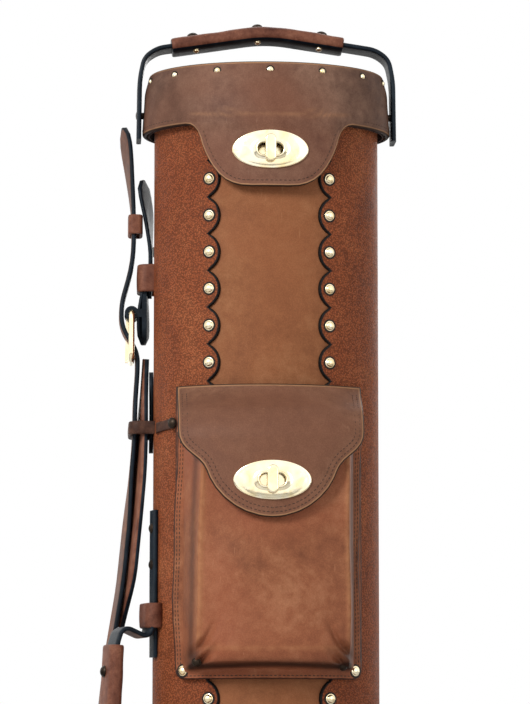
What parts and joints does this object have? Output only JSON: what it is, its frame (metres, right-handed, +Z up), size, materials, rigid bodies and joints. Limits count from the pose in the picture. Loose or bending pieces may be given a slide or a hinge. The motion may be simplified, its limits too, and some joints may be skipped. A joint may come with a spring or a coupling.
{
  "type": "cue case",
  "caption": "Oval leather cue case with a hinged cap, liner tubes, two flap pockets with turn locks, two carry handles and a buckled shoulder strap.",
  "frame": {"origin": "centre of the flat foot that the case stands on", "axes": "+Z up the case to the cap, -Y the front with the pockets and locks, -X the side with the shoulder strap and side handle"},
  "size_m": [0.197, 0.1456, 0.8934],
  "materials": {
    "pebbled_leather": "pebbled reddish brown hide, satin",
    "smooth_leather": "smooth oiled brown hide, mottled",
    "trim_leather": "dark brown oiled hide, burnished edges",
    "handle_leather": "brown strap leather",
    "dark_leather": "near black strap leather",
    "polished_brass": "polished pale gold",
    "brass_rivet": "polished pale gold domes",
    "shell_board": "hard moulded shell, matt black",
    "liner_tube": "flocked liner tube",
    "tube_collar": "short pile cloth over board",
    "lining_cloth": "short pile lining cloth",
    "base_wood": "plywood disc",
    "foot_rubber": "matt black foot"
  },
  "bodies": {
    "case": {"inner_shell": "shell_board", "tube_floor": "shell_board", "tube_collar": "tube_collar", "butt_tubes": "liner_tube", "shaft_tubes": "liner_tube", "front_panel": "smooth_leather", "back_padding": "dark_leather", "side_wrap": "pebbled_leather", "scallop_rivets": "brass_rivet", "base_sole": "foot_rubber", "base_disc": "base_wood", "base_boot": "trim_leather", "base_tacks": "brass_rivet", "cap_turn_base": "polished_brass", "cap_hinge_leather": "trim_leather", "upper_pocket_back": "smooth_leather", "upper_pocket_bag": "smooth_leather", "upper_pocket_rivets": "brass_rivet", "upper_flap_seam": "trim_leather", "upper_turn_base": "polished_brass", "lower_pocket_back": "smooth_leather", "lower_pocket_bag": "smooth_leather", "lower_pocket_rivets": "brass_rivet", "lower_flap_seam": "trim_leather", "lower_turn_base": "polished_brass", "side_handle_tabs": "dark_leather", "side_handle_loops": "handle_leather", "strap_tabs": "dark_leather", "tab_loops": "handle_leather", "middle_loop": "handle_leather", "strap_keeper": "handle_leather", "buckle_chape": "dark_leather", "buckle_frame": "polished_brass", "strap_rivets": "brass_rivet", "leather_rivets": "brass_rivet"},
    "cap": {"cap_wall": "trim_leather", "cap_lining": "lining_cloth", "cap_disc": "base_wood", "cap_top": "trim_leather", "cap_tacks": "brass_rivet", "handle_pivots": "brass_rivet"},
    "tongue": {"cap_tongue": "trim_leather", "tongue_plate": "polished_brass"},
    "cap_button": {"cap_turn_button": "polished_brass"},
    "upper_flap": {"upper_flap": "trim_leather", "upper_flap_plate": "polished_brass"},
    "upper_button": {"upper_turn_button": "polished_brass"},
    "lower_flap": {"lower_flap": "trim_leather", "lower_flap_plate": "polished_brass"},
    "lower_button": {"lower_turn_button": "polished_brass"},
    "top_handle": {"top_handle_strap": "dark_leather", "top_handle_sleeve": "handle_leather", "top_handle_screws": "brass_rivet"},
    "side_handle": {"side_handle_strap": "dark_leather", "side_handle_sleeve": "handle_leather", "side_handle_screws": "brass_rivet"},
    "shoulder_strap": {"shoulder_strap": "dark_leather", "shoulder_pad": "handle_leather"},
    "prong": {"buckle_prong": "polished_brass"}
  },
  "joints": [
    {"name": "cap_open", "type": "hinge", "parent": "case", "child": "cap", "pos_m": [0, 0.0532, 0.825], "axis": [-1, 0, 0], "range_deg": [0, 100], "deforming": ["cap_tongue", "tongue_plate"]},
    {"name": "tongue_lift", "type": "hinge", "parent": "cap", "child": "tongue", "pos_m": [0, -0.0552, 0.8248], "axis": [-1, 0, 0], "range_deg": [0, 75]},
    {"name": "cap_button_turn", "type": "hinge", "parent": "case", "child": "cap_button", "pos_m": [0, -0.05, 0.808], "axis": [0, -1, 0], "range_deg": [0, 90]},
    {"name": "upper_flap_open", "type": "hinge", "parent": "case", "child": "upper_flap", "pos_m": [0, -0.0544, 0.6568], "axis": [-1, 0, 0], "range_deg": [0, 115], "deforming": ["upper_flap", "upper_flap_plate"]},
    {"name": "upper_button_turn", "type": "hinge", "parent": "case", "child": "upper_button", "pos_m": [0, -0.08, 0.606], "axis": [0, -1, 0], "range_deg": [0, 90]},
    {"name": "lower_flap_open", "type": "hinge", "parent": "case", "child": "lower_flap", "pos_m": [0, -0.0544, 0.4368], "axis": [-1, 0, 0], "range_deg": [0, 120], "deforming": ["lower_flap", "lower_flap_plate"]},
    {"name": "lower_button_turn", "type": "hinge", "parent": "case", "child": "lower_button", "pos_m": [0, -0.08, 0.386], "axis": [0, -1, 0], "range_deg": [0, 90]},
    {"name": "top_handle_swing", "type": "hinge", "parent": "cap", "child": "top_handle", "pos_m": [0, 0, 0.838], "axis": [1, 0, 0], "range_deg": [-25, 25]},
    {"name": "side_handle_swing", "type": "hinge", "parent": "case", "child": "side_handle", "pos_m": [-0.0715, -0.01, 0.457], "axis": [0, 0, 1], "range_deg": [0, 40], "deforming": ["side_handle_strap"]},
    {"name": "shoulder_strap_swing", "type": "hinge", "parent": "case", "child": "shoulder_strap", "pos_m": [-0.072, 0.014, 0.4], "axis": [0, 0, -1], "range_deg": [0, 60], "deforming": ["shoulder_strap", "shoulder_pad"]},
    {"name": "prong_lift", "type": "hinge", "parent": "case", "child": "prong", "pos_m": [-0.0825, 0.014, 0.716], "axis": [0, 1, 0], "range_deg": [0, 25]}
  ]
}
